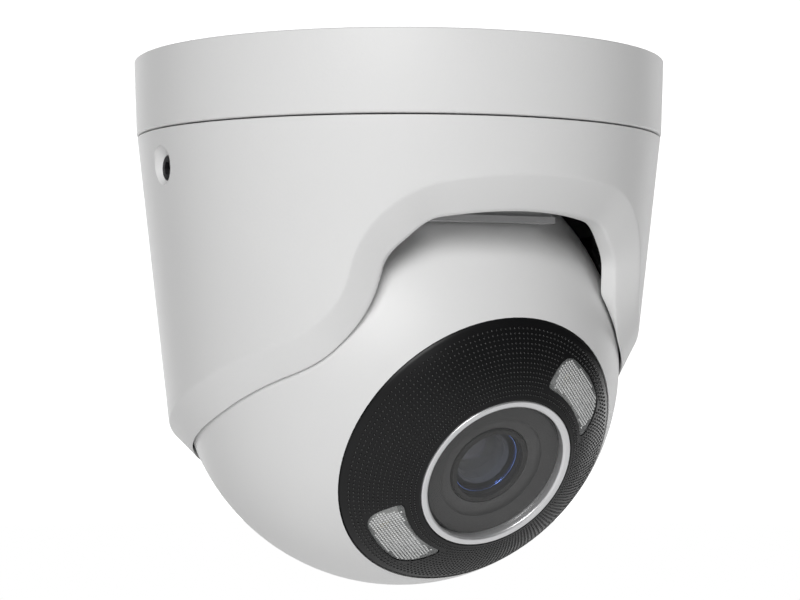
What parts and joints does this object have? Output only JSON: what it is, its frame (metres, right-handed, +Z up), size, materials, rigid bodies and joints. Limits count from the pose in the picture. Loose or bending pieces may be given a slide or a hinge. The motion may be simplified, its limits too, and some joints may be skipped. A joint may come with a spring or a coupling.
{
  "type": "turret dome camera",
  "caption": "Ceiling surveillance camera: a tapered hood pans on a round base, and an eyeball with lens and light windows tilts and rolls in it.",
  "frame": {"origin": "centre of the base's flat face, where it meets the ceiling", "axes": "+Z up into the ceiling along the pan axis, -Y out of the front arch, +X to the right of someone looking along +Y"},
  "size_m": [0.12, 0.12, 0.118],
  "materials": {
    "white_casting": "satin white powder coat on a die casting",
    "bare_casting": "bead-blasted",
    "rubber_black": "matte",
    "foam_black": "matte closed-cell foam",
    "acetal": "matte",
    "felt": "matte",
    "screw_steel": "satin",
    "face_black": "satin black with a fine dotted texture",
    "clear_window": "clear with a fine lens grid behind",
    "reflector_bright": "metallised",
    "board_green": "solder mask",
    "led_yellow": "phosphor",
    "bezel_chrome": "satin chrome",
    "front_glass": "polished",
    "lens_black": "matte",
    "lens_glass": "coated",
    "filter_glass": "coated",
    "copper_wire": "enamelled",
    "sensor_ceramic": "matte",
    "heat_pad": "matte",
    "chip_black": "matte",
    "connector_white": "matte",
    "socket_steel": "satin",
    "card_plastic": "matte",
    "button_black": "satin",
    "microphone_can": "satin",
    "spacer_brass": "satin",
    "transformer_tape": "tape",
    "capacitor_sleeve": "sleeve",
    "gland_plastic": "matte"
  },
  "bodies": {
    "base": {"mounting_base": "white_casting", "ceiling_seal": "rubber_black"},
    "turret": {"hood": "white_casting", "carrier": "bare_casting", "pan_bearing": "acetal", "set_screws": "screw_steel", "friction_pads": "felt", "dust_seal": "foam_black"},
    "cradle": {"slip_ring": "acetal"},
    "filter": {"filter_slide": "filter_glass"},
    "card": {"memory_card": "card_plastic"},
    "button": {"reset_button": "button_black"},
    "eyeball": {"ball_housing": "white_casting", "face_gasket": "rubber_black", "glass_seal": "rubber_black", "rear_seal": "rubber_black", "light_baffle": "rubber_black", "chassis": "bare_casting", "rear_cover": "bare_casting", "sensor_screws": "screw_steel", "chassis_screws": "screw_steel", "board_screws": "screw_steel", "rear_screws": "screw_steel", "face_ring": "face_black", "light_window_upper": "clear_window", "light_window_lower": "clear_window", "reflector_upper": "reflector_bright", "reflector_lower": "reflector_bright", "light_board": "board_green", "sensor_board": "board_green", "main_board": "board_green", "power_board": "board_green", "led_chips": "led_yellow", "bezel_ring": "bezel_chrome", "front_glass": "front_glass", "lens_retainer": "lens_black", "lens_barrel": "lens_black", "iris_ring": "lens_black", "lens_holder": "lens_black", "front_element": "lens_glass", "middle_element": "lens_glass", "rear_element": "lens_glass", "filter_coil": "copper_wire", "image_sensor": "sensor_ceramic", "heat_pad": "heat_pad", "processor": "chip_black", "memory_chips": "chip_black", "board_connectors": "connector_white", "card_socket": "socket_steel", "microphone": "microphone_can", "board_spacers": "spacer_brass", "transformer": "transformer_tape", "capacitors": "capacitor_sleeve", "ribbon_cable": "connector_white", "cable_gland": "gland_plastic"}
  },
  "joints": [
    {"name": "pan", "type": "hinge", "parent": "base", "child": "turret", "pos_m": [0, 0, -0.0254], "axis": [0, 0, 1], "range_deg": [-178, 178]},
    {"name": "tilt", "type": "hinge", "parent": "turret", "child": "cradle", "pos_m": [0, 0, -0.06805], "axis": [1, 0, 0], "range_deg": [-28, 61]},
    {"name": "roll", "type": "hinge", "parent": "cradle", "child": "eyeball", "pos_m": [0, 0, -0.06805], "axis": [0, -0.8797, -0.4755], "range_deg": [-178, 178]},
    {"name": "ir_cut", "type": "slide", "parent": "eyeball", "child": "filter", "axis": [1, 0, 0], "range_m": [0, 0.0075]},
    {"name": "card_eject", "type": "slide", "parent": "eyeball", "child": "card", "axis": [0, 0.4755, -0.8797], "range_m": [0, 0.008]},
    {"name": "reset_press", "type": "slide", "parent": "eyeball", "child": "button", "axis": [0, -0.8797, -0.4755], "range_m": [0, 0.0004], "stiffness_N_per_m": 500}
  ]
}
